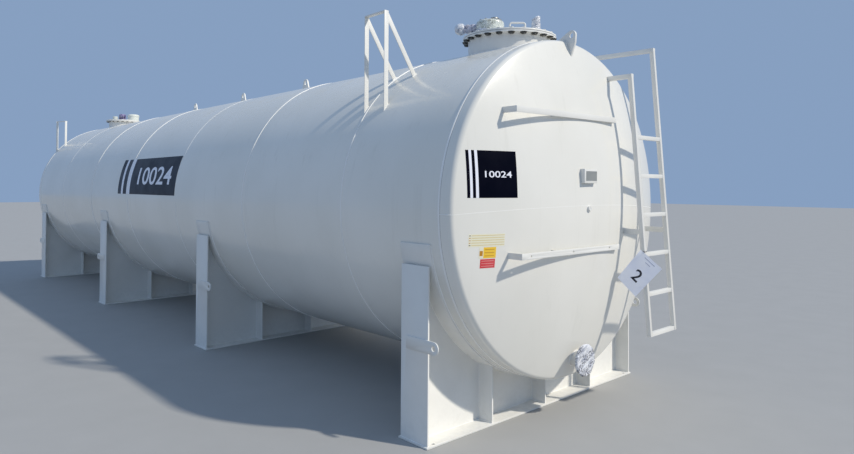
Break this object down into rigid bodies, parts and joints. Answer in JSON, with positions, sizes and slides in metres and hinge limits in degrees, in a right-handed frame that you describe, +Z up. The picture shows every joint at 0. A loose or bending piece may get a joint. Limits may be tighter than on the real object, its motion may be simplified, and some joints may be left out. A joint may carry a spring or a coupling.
{
  "type": "horizontal aviation fuel storage tank",
  "caption": "Horizontal cylindrical steel fuel tank with dished ends, on upright plate saddles, with manholes, lifting lugs and an end ladder.",
  "frame": {"origin": "on the ground, under the middle of the whole length", "axes": "+X along the tank towards the end with the ladder, +Y to the right of the picture's near end, +Z up"},
  "size_m": [11.4024, 2.5, 3.043],
  "materials": {
    "white_paint": "semi-gloss off-white paint, weathered",
    "clear_film": "wrinkled protective film over a flange or pipe end, and the sheet of the tag"
  },
  "bodies": {
    "root": {"shell_course_1": "white_paint", "shell_course_2": "white_paint", "shell_course_3": "white_paint", "shell_course_4": "white_paint", "shell_course_5": "white_paint", "shell_course_6": "white_paint", "shell_course_7": "white_paint", "head_near": "white_paint", "head_far": "white_paint", "saddle_1": "white_paint", "saddle_pad_1": "white_paint", "saddle_2": "white_paint", "saddle_pad_2": "white_paint", "saddle_3": "white_paint", "saddle_pad_3": "white_paint", "saddle_4": "white_paint", "saddle_pad_4": "white_paint", "manhole_near_neck": "white_paint", "manhole_near_cover": "white_paint", "manhole_far_neck": "white_paint", "manhole_far_cover": "white_paint", "filling_valve": "white_paint", "cover_handle": "white_paint", "vent_stub": "clear_film", "far_valve": "white_paint", "far_pipe_stub": "clear_film", "far_cap": "white_paint", "lifting_lug_near": "white_paint", "lifting_lug_far": "white_paint", "top_lug_1": "white_paint", "top_lug_2": "white_paint", "top_lug_3": "white_paint", "guard_near_left": "white_paint", "guard_far_left": "white_paint", "guard_near_right": "white_paint", "guard_far_right": "white_paint", "ladder": "white_paint", "head_rail_upper": "white_paint", "head_rail_lower": "white_paint", "nameplate_bracket": "white_paint", "earth_boss": "white_paint", "outlet_nozzle": "white_paint", "outlet_cover": "clear_film", "paper_tag": "clear_film"}
  },
  "joints": []
}
